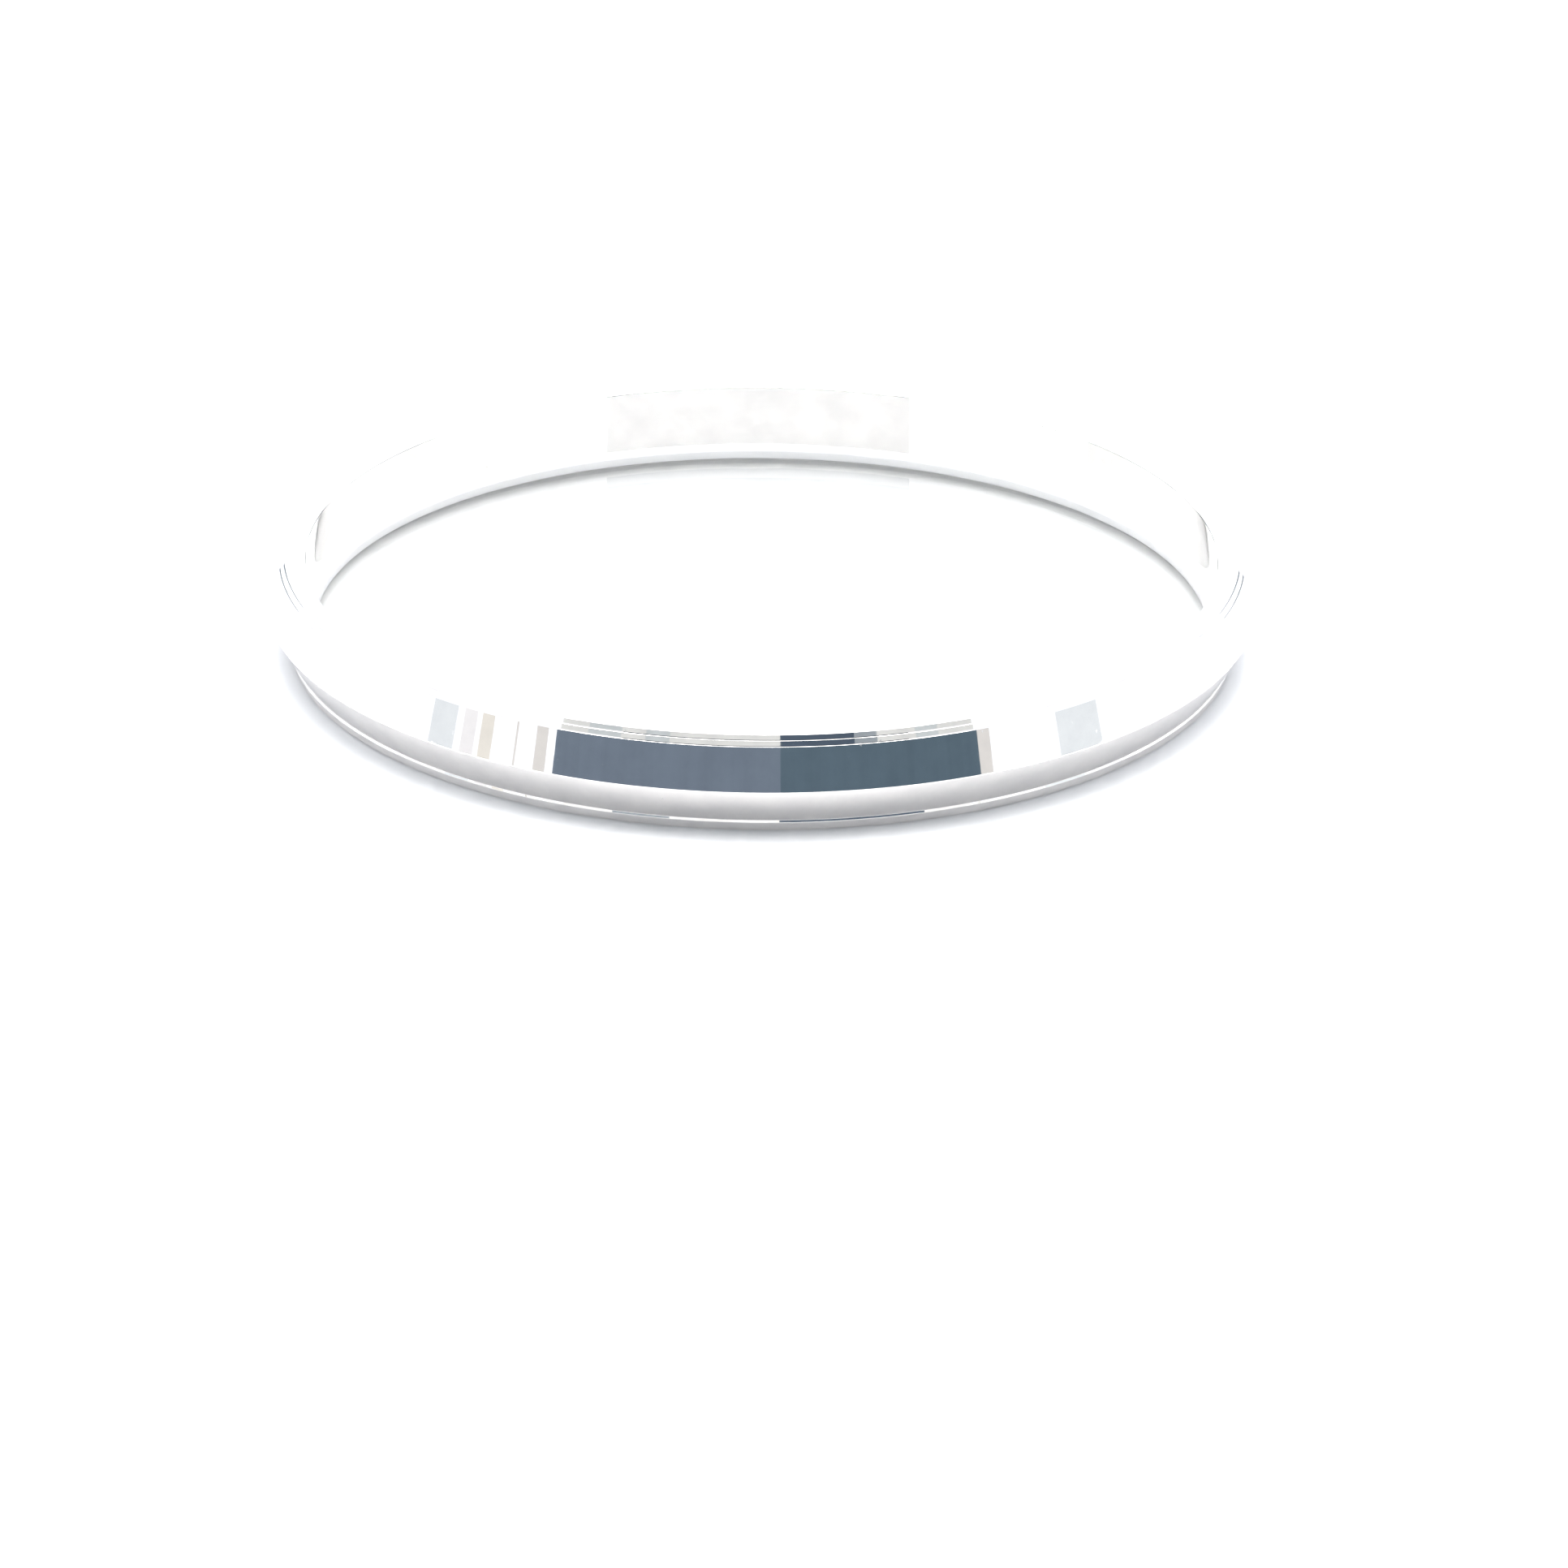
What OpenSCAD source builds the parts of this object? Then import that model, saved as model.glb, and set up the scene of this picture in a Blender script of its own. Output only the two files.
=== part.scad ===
// Watch glass: a flat mineral glass pressed with a nylon gasket into a polished steel ring.
// It lies glass side down, as it does on the bench, with the open bore of the ring upwards.

/* [Glass] */
// diameter of the flat glass
glass_d = 37.2; // [28:0.1:44]
// thickness of the glass
glass_t = 0.7; // [0.6:0.05:1.2]
// ground bevel on both edges of the glass
glass_bevel = 0.1; // [0.05:0.01:0.2]
// how far the glass sits back behind the underside of the foot
glass_recess = 0.05; // [0.02:0.01:0.2]

/* [Gasket] */
// radial thickness of the gasket's wall, between the glass and the ring
gasket_t = 0.2; // [0.15:0.01:0.4]
// thickness of the gasket's lip, between the glass and the ledge of the ring
lip_t = 0.45; // [0.3:0.05:0.7]
// width of the strip of glass that the lip covers
lip_w = 0.55; // [0.45:0.05:1.2]
// rounding on the free edge of the lip
lip_round = 0.1; // [0.05:0.01:0.14]
// how far the gasket's wall ends above the back of the glass
gasket_short = 0.15; // [0.05:0.05:0.4]
// play left at each side of the gasket's wall before it is pressed in
press_play = 0.01; // [0.005:0.005:0.03]

/* [Ring] */
// overall height of the ring, to the crest of its rim
ring_h = 4.15; // [3.8:0.05:5]
// height of the widest edge above the underside of the foot
edge_z = 2; // [1.5:0.1:2.6]
// how far the widest edge stands out past the foot
flare_w = 0.9; // [0.85:0.05:1.6]
// rounding of the widest edge
edge_round = 0.12; // [0.05:0.01:0.2]
// how far the upper flank leans in, from the widest edge to the shoulder
lean_w = 0.44; // [0.3:0.02:0.5]
// number of fine steps between the shoulder and the crest
step_count = 2; // [1:1:3]
// width of the ledge of each step
step_w = 0.1; // [0.06:0.01:0.13]
// height of the wall of each step
step_h = 0.19; // [0.1:0.01:0.25]
// how far the wall of each step leans in
step_lean = 0.07; // [0.03:0.01:0.09]
// depth of the inner slope, from the crest down to the mouth of the bore
slope_h = 0.33; // [0.1:0.01:0.5]
// width of the ledge that the gasket seats against
ledge_w = 0.42; // [0.3:0.02:0.6]

/* [Foot] */
// wall of the foot round the gasket
foot_t = 0.3; // [0.25:0.05:0.5]
// height of the foot
foot_h = 0.46; // [0.4:0.02:0.8]
// height of the bright bead along the top of the foot
bead_h = 0.1; // [0.06:0.01:0.15]
// how far the bead leans in over its height
bead_lean = 0.03; // [0.02:0.01:0.05]
// how far the foot draws in, from the bead to its underside
foot_taper = 0.1; // [0.05:0.01:0.12]
// rounding of the lower edge of the foot
foot_round = 0.05; // [0.03:0.01:0.08]

/* [Hidden] */
glass_r = glass_d / 2;
glass_top = glass_recess + glass_t;
ledge_z = glass_top + lip_t;
lip_r = glass_r - lip_w;
gasket_in_r = glass_r + press_play;
gasket_out_r = gasket_in_r + gasket_t;
seat_r = gasket_out_r + press_play;
bore_r = seat_r - ledge_w;
mouth_z = ring_h - slope_h;
foot_r = seat_r + foot_t;
undercut_r = foot_r - bead_lean;
edge_r = foot_r + flare_w;
shoulder_r = edge_r - lean_w;
shoulder_z = ring_h - step_count * step_h;
round_steps = 6;
$fn = 256;

// direction from one point of a profile to another, one unit long
function heading(from, to) = (to - from) / norm(to - from);

// arc that rounds corner b between a and c, touching both sides
function rounded(a, b, c, radius) =
    let (
        back = heading(b, a),
        ahead = heading(b, c),
        half = acos(back * ahead) / 2,
        middle = b + heading([0, 0], back + ahead) * radius / sin(half),
        start = b + back * radius / tan(half) - middle,
        turn = cross(back, ahead) < 0 ? 180 - 2 * half : 2 * half - 180
    )
    [
        for (i = [0:round_steps])
            let (angle = turn * i / round_steps)
                middle + [
                    start.x * cos(angle) - start.y * sin(angle),
                    start.x * sin(angle) + start.y * cos(angle)
                ]
    ];

// profile through corners [radius from the axis, height, rounding]
function profile(corners) =
    let (
        count = len(corners),
        point = [for (corner = corners) [corner.x, corner.y]]
    )
    [
        for (i = [0:count - 1])
            each corners[i].z > 0
                ? rounded(point[(i + count - 1) % count], point[i], point[(i + 1) % count], corners[i].z)
                : [point[i]]
    ];

// the fine steps of the rim, from the shoulder up to the crest
function rim_steps() =
    [
        for (i = [0:step_count - 1])
            let (
                outer_r = shoulder_r - i * (step_w + step_lean),
                ledge_height = shoulder_z + i * step_h
            )
            each [
                [outer_r, ledge_height, 0],
                [outer_r - step_w, ledge_height, 0]
            ],
        [shoulder_r - step_count * (step_w + step_lean), ring_h, 0]
    ];

// steel ring: tapered foot with its bead and undercut below the widest edge,
// leaning flank and stepped rim above it, an inner slope down to the plain bore,
// and a stepped seat for the gasket from below
module ring() {
    color([0.78, 0.80, 0.82])
        rotate_extrude()
            polygon(profile([
                [seat_r, 0, 0],
                [foot_r - foot_taper, 0, foot_round],
                [foot_r, foot_h - bead_h, 0],
                [undercut_r, foot_h, 0],
                [edge_r, edge_z, edge_round],
                each rim_steps(),
                [bore_r, mouth_z, 0],
                [bore_r, ledge_z, 0],
                [seat_r, ledge_z, 0]
            ]));
}

// nylon gasket of L section: its wall grips the edge of the glass,
// its lip keeps the glass off the ledge and stands a little into the bore
module gasket() {
    color([0.95, 0.95, 0.93])
        rotate_extrude()
            polygon(profile([
                [gasket_in_r, glass_recess + gasket_short, 0],
                [gasket_out_r, glass_recess + gasket_short, 0],
                [gasket_out_r, ledge_z, 0],
                [lip_r, ledge_z, lip_round],
                [lip_r, glass_top, lip_round],
                [gasket_in_r, glass_top, 0]
            ]));
}

// flat glass with a ground bevel on both edges
module glass() {
    color([0.86, 0.93, 0.95, 0.4])
        rotate_extrude()
            polygon([
                [0, glass_recess],
                [glass_r - glass_bevel, glass_recess],
                [glass_r, glass_recess + glass_bevel],
                [glass_r, glass_top - glass_bevel],
                [glass_r - glass_bevel, glass_top],
                [0, glass_top]
            ]);
}

ring();
gasket();
glass();
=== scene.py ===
import math

import bmesh
import bpy
from mathutils import Matrix, Vector


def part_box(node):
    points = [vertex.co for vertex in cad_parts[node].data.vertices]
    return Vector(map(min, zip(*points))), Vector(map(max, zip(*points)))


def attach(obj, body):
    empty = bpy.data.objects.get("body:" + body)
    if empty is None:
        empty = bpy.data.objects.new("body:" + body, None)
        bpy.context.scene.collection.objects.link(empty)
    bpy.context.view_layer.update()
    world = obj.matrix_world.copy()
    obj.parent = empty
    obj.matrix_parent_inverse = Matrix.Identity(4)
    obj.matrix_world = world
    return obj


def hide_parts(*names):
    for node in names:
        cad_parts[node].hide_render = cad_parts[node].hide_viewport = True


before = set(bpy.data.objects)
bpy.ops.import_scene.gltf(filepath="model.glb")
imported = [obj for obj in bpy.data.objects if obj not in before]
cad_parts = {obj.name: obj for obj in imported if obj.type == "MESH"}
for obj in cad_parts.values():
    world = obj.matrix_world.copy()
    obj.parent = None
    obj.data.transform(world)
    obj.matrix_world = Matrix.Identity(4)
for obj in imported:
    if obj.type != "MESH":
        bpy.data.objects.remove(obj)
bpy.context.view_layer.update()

# Steel ring
# The bezel that carries the glass, turned from stainless bar and mirror polished. Foot, undercut,
# widest edge, leaning flank, stepped rim, inner slope, bore and seat are one closed profile; every
# outer edge that shows is broken by the polishing wheel.
MM = 0.001
ROUND_SIDES = 720
ring_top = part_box("ring")[1]
glass_low, glass_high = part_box("glass")
gasket_low, gasket_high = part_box("gasket")

widest_r = ring_top.x
widest_z = 2.0 * MM
crest_z = ring_top.z
lean_w = 0.43 * MM
step_h, step_ledge, step_lean = 0.19 * MM, 0.1 * MM, 0.07 * MM
shoulder_r = widest_r - lean_w
shoulder_z = crest_z - 2 * step_h
first_step_r = shoulder_r - step_ledge
second_ledge_r = first_step_r - step_lean
second_ledge_z = shoulder_z + step_h
second_step_r = second_ledge_r - step_ledge
crest_r = second_step_r - step_lean
press_play = 0.01 * MM
ledge_w, slope_h = 0.42 * MM, 0.33 * MM
seat_r = gasket_high.x + press_play
seat_z = gasket_high.z
bore_r = seat_r - ledge_w
mouth_z = crest_z - slope_h
foot_t, foot_h, foot_taper = 0.3 * MM, 0.46 * MM, 0.1 * MM
bead_h, bead_lean = 0.1 * MM, 0.03 * MM
foot_r = seat_r + foot_t
sole_r = foot_r - foot_taper
bead_z = foot_h - bead_h
undercut_r = foot_r - bead_lean


def turn_profile(name, corners):
    """A circle at the first corner is drawn round the profile, corner by corner, and closed."""
    bpy.ops.object.select_all(action="DESELECT")
    start_r, start_z = corners[0]
    bpy.ops.mesh.primitive_circle_add(vertices=ROUND_SIDES, radius=start_r, location=(0, 0, start_z))
    piece = bpy.context.object
    piece.name = name
    bpy.ops.object.transform_apply(location=True, rotation=True, scale=True)
    bpy.ops.object.mode_set(mode="EDIT")
    bpy.ops.mesh.select_all(action="SELECT")
    for (from_r, from_z), (to_r, to_z) in zip(corners, corners[1:]):
        bpy.ops.mesh.extrude_region_move(TRANSFORM_OT_translate={"value": (0, 0, to_z - from_z)})
        share = to_r / from_r
        bpy.ops.transform.resize(value=(share, share, 1), center_override=(0, 0, to_z))
    bpy.ops.mesh.select_all(action="DESELECT")
    bpy.ops.mesh.select_mode(type="EDGE")
    bpy.ops.mesh.select_non_manifold()
    bpy.ops.mesh.bridge_edge_loops()
    bpy.ops.object.mode_set(mode="OBJECT")
    return piece


def break_edge(piece, edge_r, edge_z, width, rounds):
    """Bevels the round edge that lies at this radius and height."""
    bpy.ops.object.mode_set(mode="EDIT")
    bpy.ops.mesh.select_all(action="DESELECT")
    mesh = bmesh.from_edit_mesh(piece.data)
    near = 0.002 * MM
    for edge in mesh.edges:
        edge.select = all(
            abs(math.hypot(v.co.x, v.co.y) - edge_r) < near and abs(v.co.z - edge_z) < near
            for v in edge.verts
        )
    bmesh.update_edit_mesh(piece.data)
    bpy.ops.mesh.bevel(offset=width, segments=rounds, profile=0.5, affect="EDGES")
    bpy.ops.object.mode_set(mode="OBJECT")


def finish_turned(piece):
    """Outward faces, and smooth shading that keeps each flat band of the profile flat."""
    weld = 0.0005 * MM
    flat_angle = math.radians(4)
    bpy.ops.object.select_all(action="DESELECT")
    piece.select_set(True)
    bpy.context.view_layer.objects.active = piece
    bpy.ops.object.mode_set(mode="EDIT")
    bpy.ops.mesh.select_all(action="SELECT")
    bpy.ops.mesh.remove_doubles(threshold=weld)
    bpy.ops.mesh.normals_make_consistent(inside=False)
    bpy.ops.object.mode_set(mode="OBJECT")
    bpy.ops.object.shade_smooth_by_angle(angle=flat_angle)


ring = turn_profile(
    "steel_ring",
    [
        (seat_r, 0),
        (sole_r, 0),
        (foot_r, bead_z),
        (undercut_r, foot_h),
        (widest_r, widest_z),
        (shoulder_r, shoulder_z),
        (first_step_r, shoulder_z),
        (second_ledge_r, second_ledge_z),
        (second_step_r, second_ledge_z),
        (crest_r, crest_z),
        (bore_r, mouth_z),
        (bore_r, seat_z),
        (seat_r, seat_z),
    ],
)
FOOT_BREAK, MOUTH_BREAK, WIDE_BREAK = 0.04 * MM, 0.03 * MM, 0.02 * MM
FINE_BREAK, STEP_BREAK = 0.015 * MM, 0.012 * MM
for edge_r, edge_z, width, rounds in (
    (sole_r, 0, FOOT_BREAK, 4),
    (foot_r, bead_z, FINE_BREAK, 3),
    (undercut_r, foot_h, FINE_BREAK, 3),
    (widest_r, widest_z, WIDE_BREAK, 4),
    (shoulder_r, shoulder_z, FINE_BREAK, 4),
    (second_ledge_r, second_ledge_z, STEP_BREAK, 4),
    (crest_r, crest_z, WIDE_BREAK, 4),
    (bore_r, mouth_z, MOUTH_BREAK, 4),
):
    break_edge(ring, edge_r, edge_z, width, rounds)
finish_turned(ring)


def linear(hex_colour):
    """An sRGB hex value as the linear colour that a shader socket takes."""
    shares = [int(hex_colour[i:i + 2], 16) / 255 for i in (1, 3, 5)]
    return [s / 12.92 if s <= 0.04045 else ((s + 0.055) / 1.055) ** 2.4 for s in shares] + [1]


def fill_sockets(material, node, values):
    """Gives each named socket of a node its value, or the link that feeds it."""
    for name, value in values.items():
        if isinstance(value, bpy.types.NodeSocket):
            material.node_tree.links.new(value, node.inputs[name])
        else:
            node.inputs[name].default_value = value


def add_node(material, kind, values, **settings):
    """Adds one node, with its settings, its socket values and the links into it."""
    node = material.node_tree.nodes.new(kind)
    for name, value in settings.items():
        setattr(node, name, value)
    fill_sockets(material, node, values)
    return node


def add_noise(material, spacing, detail, roughness=0.5):
    """Noise of a real spacing that stays fixed to the piece."""
    place = add_node(material, "ShaderNodeTexCoord", {})
    noise = add_node(
        material, "ShaderNodeTexNoise",
        {"Vector": place.outputs["Object"], "Scale": 1 / spacing, "Detail": detail, "Roughness": roughness},
    )
    return noise.outputs["Fac"]


def start_material(name):
    """A new material and its shader."""
    material = bpy.data.materials.new(name)
    material.use_nodes = True
    return material, material.node_tree.nodes["Principled BSDF"]


# Stainless steel, mirror polished on a wheel: a neutral mirror a little darker than what it
# shows, with a faint haze that comes and goes over about a millimetre, a very slight wave and a
# few dull specks of dust.
HAZE_SPACING = 1.2 * MM
WAVE_SPACING = 1.2 * MM
SPECK_SPACING = 0.5 * MM
WAVE_H = 0.004 * MM
steel, steel_shader = start_material("polished_stainless_steel")
haze = add_noise(steel, HAZE_SPACING, 4.0, 0.6)
haze_range = add_node(
    steel, "ShaderNodeMapRange",
    {"Value": haze, "From Min": 0.3, "From Max": 0.7, "To Min": 0.012, "To Max": 0.035},
)
haze_blend = add_node(steel, "ShaderNodeMapRange", {"Value": haze, "From Min": 0.3, "From Max": 0.7})
speck_range = add_node(
    steel, "ShaderNodeMapRange",
    {
        "Value": add_noise(steel, SPECK_SPACING, 2.0),
        "From Min": 0.72, "From Max": 0.78, "To Min": 0.0, "To Max": 0.25,
    },
)
dulled = add_node(
    steel, "ShaderNodeMath",
    {0: haze_range.outputs["Result"], 1: speck_range.outputs["Result"]},
    operation="ADD",
)
wave_bump = add_node(
    steel, "ShaderNodeBump",
    {"Height": add_noise(steel, WAVE_SPACING, 1.0), "Strength": 0.15, "Distance": WAVE_H},
)
steel_tint = add_node(
    steel, "ShaderNodeMix",
    {"Factor": haze_blend.outputs["Result"], "A": linear("#EDEAE8"), "B": linear("#F6F3F0")},
    data_type="RGBA",
)
fill_sockets(steel, steel_shader, {
    "Base Color": steel_tint.outputs["Result"],
    "Metallic": 1.0,
    "Roughness": dulled.outputs["Value"],
    "Normal": wave_bump.outputs["Normal"],
})
ring.data.materials.append(steel)

# The same steel as the lathe leaves it, on the inner slope that the watch case hides: satin, with
# fine rings of duller and brighter tool marks. Blender's wave takes 20 radians to a unit.
TOOL_SPACING = 0.06 * MM
WAVE_RADIANS = 20
turned, turned_shader = start_material("turned_stainless_steel")
turned_place = add_node(turned, "ShaderNodeTexCoord", {})
tool_marks = add_node(
    turned, "ShaderNodeTexWave",
    {
        "Vector": turned_place.outputs["Object"],
        "Scale": 2 * math.pi / (WAVE_RADIANS * TOOL_SPACING),
        "Distortion": 0.4,
    },
    wave_type="RINGS", rings_direction="Z",
)
turned_range = add_node(
    turned, "ShaderNodeMapRange",
    {"Value": tool_marks.outputs["Fac"], "To Min": 0.3, "To Max": 0.42},
)
fill_sockets(turned, turned_shader, {
    "Base Color": linear("#F3F0ED"),
    "Metallic": 1.0,
    "Roughness": turned_range.outputs["Result"],
})
ring.data.materials.append(turned)
for face in ring.data.polygons:
    face_r = math.hypot(face.center.x, face.center.y)
    if bore_r < face_r < crest_r and face.center.z > mouth_z:
        face.material_index = 1

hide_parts("ring")
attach(ring, "root")

# Nylon gasket
# The white seal of L section, moulded in nylon, that is pressed in with the glass. Its wall is
# squeezed between glass and seat; only the rounded edge of its lip shows, inside the bore.
lip_w = 0.55 * MM
gasket_out_r = gasket_high.x
gasket_in_r = glass_high.x + press_play
gasket_foot_z = gasket_low.z
glass_face_z = glass_high.z + press_play
lip_top_z = seat_z - press_play
lip_r = glass_high.x - lip_w
gasket = turn_profile(
    "nylon_gasket",
    [
        (gasket_in_r, gasket_foot_z),
        (gasket_out_r, gasket_foot_z),
        (gasket_out_r, lip_top_z),
        (lip_r, lip_top_z),
        (lip_r, glass_face_z),
        (gasket_in_r, glass_face_z),
    ],
)
LIP_ROUND, MOULD_BREAK = 0.1 * MM, 0.04 * MM
for edge_r, edge_z, width, rounds in (
    (lip_r, lip_top_z, LIP_ROUND, 5),
    (lip_r, glass_face_z, MOULD_BREAK, 3),
    (gasket_out_r, gasket_foot_z, MOULD_BREAK, 3),
):
    break_edge(gasket, edge_r, edge_z, width, rounds)
finish_turned(gasket)

# Nylon, injection moulded and left as it leaves the mould: warm white, half matt, a little
# translucent, with the fine grain of the tool.
MOULD_GRAIN = 0.15 * MM
GRAIN_H = 0.01 * MM
nylon, nylon_shader = start_material("moulded_white_nylon")
grain = add_noise(nylon, MOULD_GRAIN, 3.0)
grain_bump = add_node(nylon, "ShaderNodeBump", {"Height": grain, "Strength": 0.3, "Distance": GRAIN_H})
grain_tint = add_node(
    nylon, "ShaderNodeMix",
    {"Factor": grain, "A": linear("#FBFAF7"), "B": linear("#FFFEFC")},
    data_type="RGBA",
)
fill_sockets(nylon, nylon_shader, {
    "Base Color": grain_tint.outputs["Result"],
    "Roughness": 0.42,
    "IOR": 1.53,
    "Subsurface Weight": 0.4,
    "Subsurface Radius": (1, 1, 0.95),
    "Subsurface Scale": 0.3 * MM,
    "Normal": grain_bump.outputs["Normal"],
})
gasket.data.materials.append(nylon)

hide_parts("gasket")
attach(gasket, "root")

# Flat glass
# The watch glass itself: a flat disc of mineral glass, ground to size with a small bevel on both
# edges, polished on its faces and pressed into the gasket from the foot's side.
glass_r = glass_high.x
bevel_w = 0.1 * MM
bpy.ops.object.select_all(action="DESELECT")
bpy.ops.mesh.primitive_cylinder_add(
    vertices=ROUND_SIDES,
    radius=glass_r,
    depth=glass_high.z - glass_low.z,
    location=(0, 0, (glass_high.z + glass_low.z) / 2),
)
glass = bpy.context.object
glass.name = "mineral_glass"
bpy.ops.object.transform_apply(location=True, rotation=True, scale=True)
for edge_z in (glass_low.z, glass_high.z):
    break_edge(glass, glass_r, edge_z, bevel_w, 1)
finish_turned(glass)

# Mineral glass, float glass polished on both faces: clear and without colour, with a trace of
# wiping haze.
WIPE_SPACING = 6 * MM
mineral, mineral_shader = start_material("clear_mineral_glass")
wipe_range = add_node(
    mineral, "ShaderNodeMapRange",
    {
        "Value": add_noise(mineral, WIPE_SPACING, 3.0),
        "From Min": 0.45, "From Max": 0.75, "To Min": 0.0, "To Max": 0.02,
    },
)
fill_sockets(mineral, mineral_shader, {
    "Base Color": linear("#FDFDFC"),
    "Transmission Weight": 1.0,
    "IOR": 1.52,
    "Roughness": wipe_range.outputs["Result"],
})
glass.data.materials.append(mineral)

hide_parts("glass")
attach(glass, "root")

# Table
# A sheet of smooth white card that the ring stands on, large enough to fill every view. Round the
# ring, light spreads a little inside the card, so that the shadow there is soft at its edge.
TABLE_R = 3.0
SOFT_R = 27 * MM
TABLE_SIDES = 96
spread_share = TABLE_R / SOFT_R
bpy.ops.object.select_all(action="DESELECT")
bpy.ops.mesh.primitive_circle_add(vertices=TABLE_SIDES, radius=SOFT_R, fill_type="NGON", location=(0, 0, 0))
table = bpy.context.object
table.name = "white_table"
bpy.ops.object.mode_set(mode="EDIT")
bpy.ops.mesh.select_mode(type="EDGE")
bpy.ops.mesh.select_all(action="SELECT")
bpy.ops.mesh.region_to_loop()
bpy.ops.mesh.extrude_edges_move()
bpy.ops.transform.resize(value=(spread_share, spread_share, 1), center_override=(0, 0, 0))
bpy.ops.mesh.select_all(action="SELECT")
bpy.ops.mesh.normals_make_consistent(inside=False)
bpy.ops.object.mode_set(mode="OBJECT")
for name, spread in (("white_card", 0.0), ("white_card_near", 1.0)):
    card, card_shader = start_material(name)
    fill_sockets(card, card_shader, {
        "Base Color": linear("#F4F4F4"),
        "Roughness": 0.3,
        "Subsurface Weight": spread,
        "Subsurface Radius": (1, 1, 1),
        "Subsurface Scale": 1.4 * MM,
    })
    table.data.materials.append(card)
for face in table.data.polygons:
    face.material_index = 1 if face.center.length < SOFT_R / 2 else 0

# Studio
# White light walls stand round the table just outside the picture, open towards the camera, where
# the dim room shows. They light the scene and show in the polished steel, not in the picture.
WALL_LIGHT, WALL_COLOUR = 1.45, "#F2F7FF"
SKY_LIGHT, SKY_BACK_LIGHT, SKY_COLOUR = 7.5, 10, "#FFFFFF"
WALL_X = 60 * MM
WALL_BACK_Y = 140 * MM
WALL_H = 150 * MM
LEFT_FRONT_Y = -67 * MM
RIGHT_FRONT_Y = -60.5 * MM
SKY_X = 3 * WALL_X
SKY_FRONT_Y = -62 * MM
SKY_SPLIT_Y = 20 * MM
PANEL_GAP = 0.5 * MM
PATCH_SPACING = 40 * MM


def hang_panel(name, corner, along, up, colour, strength, mottle=0):
    """One glowing panel from a corner, its edges along and upwards, its glow uneven by a share."""
    bpy.ops.object.select_all(action="DESELECT")
    bpy.ops.mesh.primitive_plane_add(size=1, location=(0, 0, 0))
    panel = bpy.context.object
    panel.name = name
    corner, along, up = Vector(corner), Vector(along), Vector(up)
    middle = corner + along / 2 + up / 2
    for vertex in panel.data.vertices:
        vertex.co = middle + along * vertex.co.x + up * vertex.co.y
    glow, glow_shader = start_material(name + "_glow")
    fill_sockets(glow, glow_shader, {
        "Base Color": (0, 0, 0, 1),
        "Specular IOR Level": 0,
        "Emission Color": linear(colour),
        "Emission Strength": strength,
    })
    if mottle:
        patch_range = add_node(
            glow, "ShaderNodeMapRange",
            {
                "Value": add_noise(glow, PATCH_SPACING, 3.0), "From Min": 0.3, "From Max": 0.7,
                "To Min": strength * (1 - mottle), "To Max": strength * (1 + mottle),
            },
        )
        fill_sockets(glow, glow_shader, {"Emission Strength": patch_range.outputs["Result"]})
    panel.data.materials.append(glow)
    panel.visible_camera = False


wall_up = (0, 0, WALL_H)
for name, wall_x, front_y in (("left_wall", -WALL_X, LEFT_FRONT_Y), ("right_wall", WALL_X, RIGHT_FRONT_Y)):
    wall_run = (0, WALL_BACK_Y - front_y, 0)
    hang_panel(name, (wall_x, front_y, 0), wall_run, wall_up, WALL_COLOUR, WALL_LIGHT)
hang_panel("back_wall", (-WALL_X, WALL_BACK_Y, 0), (2 * WALL_X, 0, 0), wall_up, WALL_COLOUR, WALL_LIGHT)
for name, from_y, to_y, strength in (
    ("sky_front", SKY_FRONT_Y, SKY_SPLIT_Y, SKY_LIGHT),
    ("sky_back", SKY_SPLIT_Y, WALL_BACK_Y, SKY_BACK_LIGHT),
):
    corner = (-SKY_X, from_y, WALL_H)
    hang_panel(name, corner, (2 * SKY_X, 0, 0), (0, to_y - from_y, 0), SKY_COLOUR, strength)

# Seams and tapes at the foot of the walls: they show as narrow upright strips on the flank. A row
# gives the side, the start and the width in mm, and the tone as the steel shows it; the steel's
# share makes up for the light that the steel takes.
STEEL_SHARE = 1.14
SEAM_H = 8 * MM
WARM_TAPE, CREAM_TAPE, COOL_SEAM, PALE_SEAM = "#DFDEDD", "#ECEAE4", "#E8EFF5", "#F4F5F9"
for i, (side, from_y, width, colour) in enumerate((
    (-1, -63, 5, WARM_TAPE),
    (-1, -51, 0.8, WARM_TAPE),
    (-1, -42.5, 4, CREAM_TAPE),
    (-1, -37, 4, PALE_SEAM),
    (-1, -31, 7, COOL_SEAM),
    (1, -60.5, 5, WARM_TAPE),
    (1, -33, 12, COOL_SEAM),
)):
    corner = (side * (WALL_X - PANEL_GAP), from_y * MM, 0)
    hang_panel("seam_%d" % i, corner, (0, width * MM, 0), (0, 0, SEAM_H), colour, STEEL_SHARE)

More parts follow.
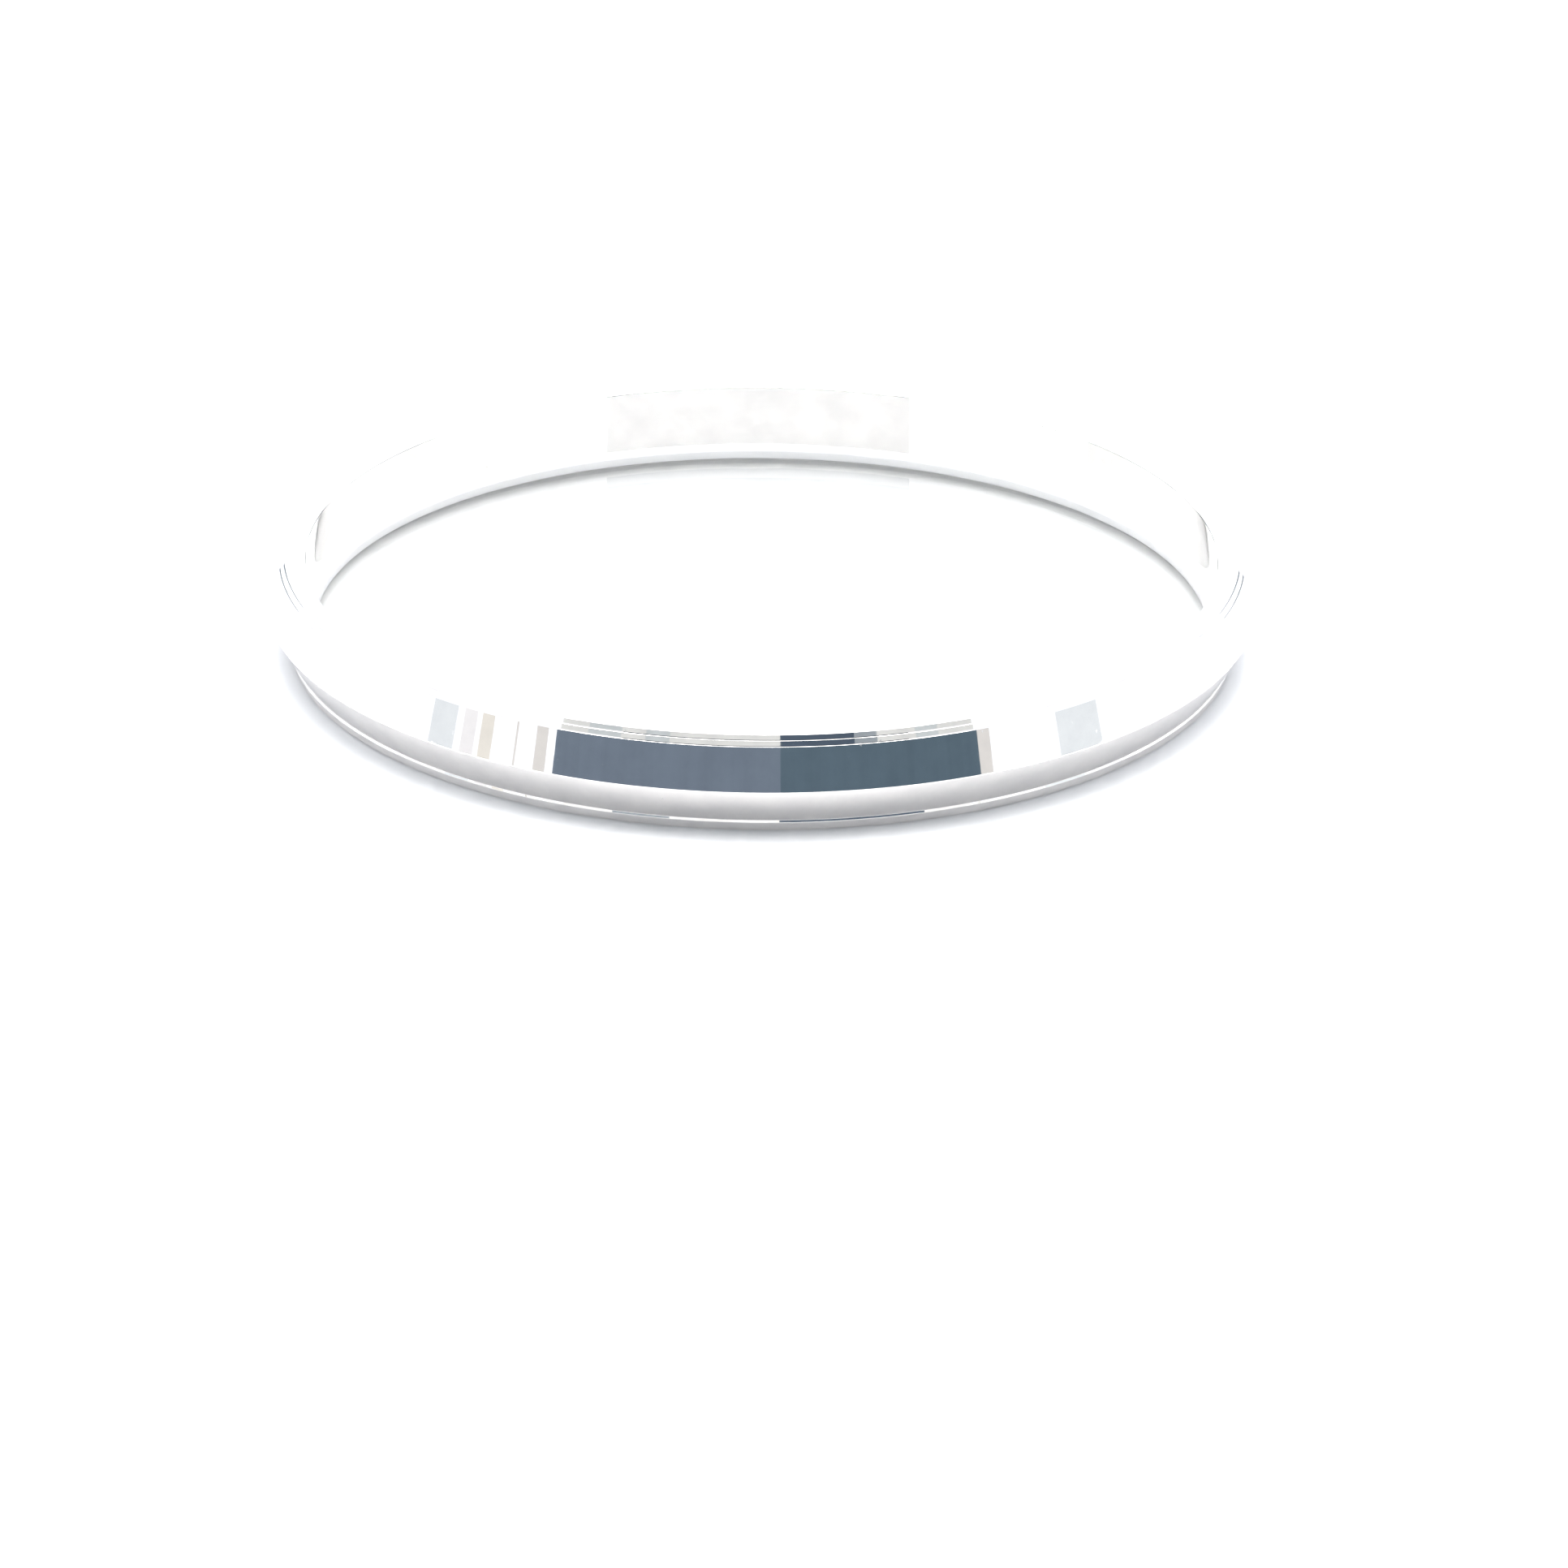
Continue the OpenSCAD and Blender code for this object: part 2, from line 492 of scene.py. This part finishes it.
# Grey cards low in the rear half of the tent: from behind, they draw the edges of the polished
# steel. They rise towards the back, so that their reflection has no gap at the tent's corners.
CARD_FRONT_Y = 15 * MM
CARD_LOW_Z = 10 * MM
CARD_H = 18 * MM
CARD_RISE = 6 * MM
CARD_COLOUR = "#8E99A3"
card_run = (0, WALL_BACK_Y - CARD_FRONT_Y, CARD_RISE)
for name, corner, along in (
    ("left_card", (-WALL_X + PANEL_GAP, CARD_FRONT_Y, CARD_LOW_Z), card_run),
    ("right_card", (WALL_X - PANEL_GAP, CARD_FRONT_Y, CARD_LOW_Z), card_run),
    ("back_card", (-WALL_X, WALL_BACK_Y - PANEL_GAP, CARD_LOW_Z + CARD_RISE), (2 * WALL_X, 0, 0)),
):
    hang_panel(name, corner, along, (0, 0, CARD_H), CARD_COLOUR, STEEL_SHARE)

# The room beyond the opening, as rows of dim and pale surfaces from left to right, in mm: the
# flank shows the wall, the foot's bead the shelf above it, the rim's steps the pictures above that.
ROOM_Y = -520 * MM
ROOM_LEFT_X = -900 * MM
ROOM_W = 1800
ROOM_MOTTLE = 0.05
DIM_FLOOR, BLUE_WALL, SLATE_WALL, DARK_CLOTH = "#39434C", "#6F7C8C", "#586A78", "#525F6F"
GREY_BOX, MID_PAPER, PALE_PAPER, WHITE_PAPER = "#9AA3AB", "#C6CED2", "#DEE1E1", "#FFFFFF"
for row, low_z, high_z, surfaces in (
    ("room_floor", -5, 16, ((ROOM_W, DIM_FLOOR),)),
    ("room_wall", 16, 75, ((941, BLUE_WALL), (859, SLATE_WALL))),
    ("room_shelf", 75, 135, (
        (550, WHITE_PAPER), (155, GREY_BOX), (236, WHITE_PAPER), (369, DARK_CLOTH), (490, WHITE_PAPER),
    )),
    ("room_pictures", 135, 205, (
        (470, PALE_PAPER), (108, MID_PAPER), (67, PALE_PAPER), (60, MID_PAPER), (237, PALE_PAPER),
        (163, DARK_CLOTH), (57, GREY_BOX), (113, PALE_PAPER), (80, MID_PAPER), (545, PALE_PAPER),
    )),
    ("room_above", 205, 330, ((ROOM_W, BLUE_WALL),)),
):
    left_x = ROOM_LEFT_X
    row_up = (0, 0, (high_z - low_z) * MM)
    for i, (width, colour) in enumerate(surfaces):
        corner = (left_x, ROOM_Y, low_z * MM)
        hang_panel("%s_%d" % (row, i), corner, (width * MM, 0, 0), row_up, colour, STEEL_SHARE, ROOM_MOTTLE)
        left_x += width * MM

ROOM_GLOW = 0.5
world = bpy.data.worlds.new("dim_room")
bpy.context.scene.world = world
world.use_nodes = True
room_light = world.node_tree.nodes["Background"]
room_light.inputs["Color"].default_value = linear("#8A99A8")
room_light.inputs["Strength"].default_value = ROOM_GLOW

# Camera
# A long lens from in front, at the picture's angle: 1932 picture points to a side. Distance and aim
# are in radii of the ring, and fit its edges in the photograph.
PICTURE = 1932
FOCAL_POINTS = 16000
SENSOR_W = 36
ELEVATION = math.radians(23.332)
ROLL = math.radians(0.458)
DISTANCE_RADII = 25.5975
AIM_RADII = (0.0484, -0.7215, 0)
distance = DISTANCE_RADII * widest_r
aim = Vector(AIM_RADII) * widest_r
lens = bpy.data.cameras.new("long_lens")
camera = bpy.data.objects.new("camera", lens)
bpy.context.scene.collection.objects.link(camera)
lens.sensor_width = SENSOR_W
lens.lens = FOCAL_POINTS / PICTURE * SENSOR_W
lens.clip_start = 10 * MM
lens.clip_end = 20
sight = Vector((0, math.cos(ELEVATION), -math.sin(ELEVATION)))
turn = sight.to_track_quat("-Z", "Y").to_matrix().to_4x4() @ Matrix.Rotation(ROLL, 4, "Z")
camera.matrix_world = Matrix.Translation(aim - distance * sight) @ turn
bpy.context.scene.camera = camera
bpy.context.scene.view_settings.view_transform = "Standard"
